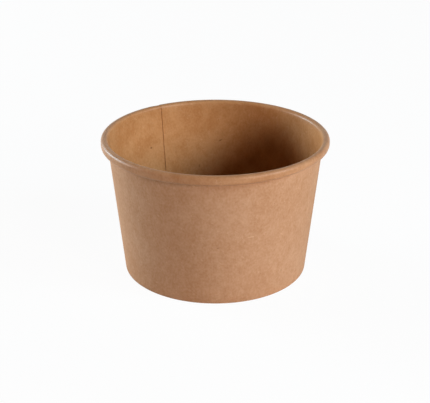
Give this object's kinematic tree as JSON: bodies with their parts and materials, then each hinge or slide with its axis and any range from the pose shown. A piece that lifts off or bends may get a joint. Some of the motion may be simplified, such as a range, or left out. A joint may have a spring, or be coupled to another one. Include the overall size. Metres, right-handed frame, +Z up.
{
  "type": "paper ice cream tub",
  "caption": "Round tapered paper tub, open at the top, with a rolled rim, a glued lap seam and a recessed floor held in a folded foot.",
  "frame": {"origin": "on the table, under the middle of the tub", "axes": "+Z up along the tub's axis, out of its mouth; -Y towards the picture's camera; +X to the right in the picture"},
  "size_m": [0.097, 0.097, 0.06],
  "materials": {
    "wall_board": "brown kraft board, plain and matt outside, with a clear satin lining inside",
    "floor_board": "brown kraft board, plain and matt below, with a clear satin lining on top"
  },
  "bodies": {
    "root": {"side_wall": "wall_board", "floor_disc": "floor_board"}
  },
  "joints": []
}
